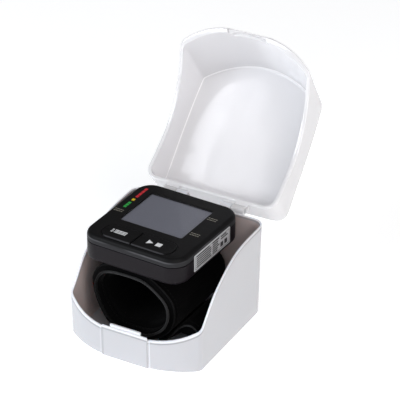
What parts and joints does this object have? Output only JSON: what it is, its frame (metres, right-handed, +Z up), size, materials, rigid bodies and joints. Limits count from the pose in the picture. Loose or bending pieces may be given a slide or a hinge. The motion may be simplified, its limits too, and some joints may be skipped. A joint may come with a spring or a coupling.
{
  "type": "wrist blood pressure monitor",
  "caption": "Wrist blood pressure monitor with display, two keys, battery door and fabric wrist cuff, seated in a glossy flip-top storage case with a hinged lid",
  "frame": {"origin": "middle of the storage case's flat bottom face", "axes": "+Z up; the case's front faces -Y, its hinge is at +Y; +X is the right side seen from the front"},
  "size_m": [0.0922, 0.1871, 0.1536],
  "materials": {
    "white_case": "smooth glossy white plastic",
    "steel": "plain turned steel",
    "black_case": "fine matte black plastic",
    "black_key": "satin black plastic",
    "dark_plastic": "dark grey plastic",
    "clear_window": "clear polished plastic",
    "crystal_panel": "grey liquid crystal panel",
    "circuit_board": "green board",
    "cell_jacket": "printed steel jacket",
    "brass": "plain brass",
    "hose": "pale silicone hose",
    "label": "pale printed label",
    "cuff_fabric": "black nylon loop cloth",
    "cuff_former": "thin plastic former",
    "cuff_bladder": "thin air bladder"
  },
  "bodies": {
    "case": {"case_base": "white_case", "hinge_pin_left": "steel", "hinge_pin_right": "steel"},
    "lid": {"case_lid": "white_case"},
    "monitor": {"top_cover": "black_case", "lower_housing": "black_case", "memory_switch": "dark_plastic", "start_switch": "dark_plastic", "display_window": "clear_window", "display_panel": "crystal_panel", "circuit_board": "circuit_board", "battery_outer": "cell_jacket", "battery_inner": "cell_jacket", "front_contact": "brass", "rear_contact": "brass", "pump_motor": "steel", "pump_head": "dark_plastic", "air_manifold": "dark_plastic", "release_valve": "brass", "pressure_sensor": "dark_plastic", "pump_hose": "hose", "valve_hose": "hose", "buzzer": "brass", "rating_label": "label", "housing_screw_1": "steel", "housing_screw_2": "steel", "housing_screw_3": "steel", "housing_screw_4": "steel", "cuff_saddle": "dark_plastic", "cuff_sleeve": "cuff_fabric", "cuff_former": "cuff_former", "cuff_bladder": "cuff_bladder", "cuff_lining": "cuff_fabric", "front_binding": "cuff_fabric", "rear_binding": "cuff_fabric", "strap_tail": "cuff_fabric"},
    "memory_key_body": {"memory_key": "black_key"},
    "start_key_body": {"start_key": "black_key"},
    "battery_door_body": {"battery_door": "black_case"}
  },
  "joints": [
    {"name": "lid_hinge", "type": "hinge", "parent": "case", "child": "lid", "pos_m": [0, 0.0525, 0.0624], "axis": [-1, 0, 0], "range_deg": [-145.5, 0]},
    {"name": "monitor_lift", "type": "slide", "parent": "case", "child": "monitor", "axis": [0, 0, 1], "range_m": [0, 0.12]},
    {"name": "memory_press", "type": "slide", "parent": "monitor", "child": "memory_key_body", "axis": [0, 0, -1], "range_m": [0, 0.0005], "stiffness_N_per_m": 1500},
    {"name": "start_press", "type": "slide", "parent": "monitor", "child": "start_key_body", "axis": [0, 0, -1], "range_m": [0, 0.0005], "stiffness_N_per_m": 1500},
    {"name": "battery_door_slide", "type": "slide", "parent": "monitor", "child": "battery_door_body", "axis": [-0.0436, -0.999, 0], "range_m": [0, 0.06]}
  ]
}
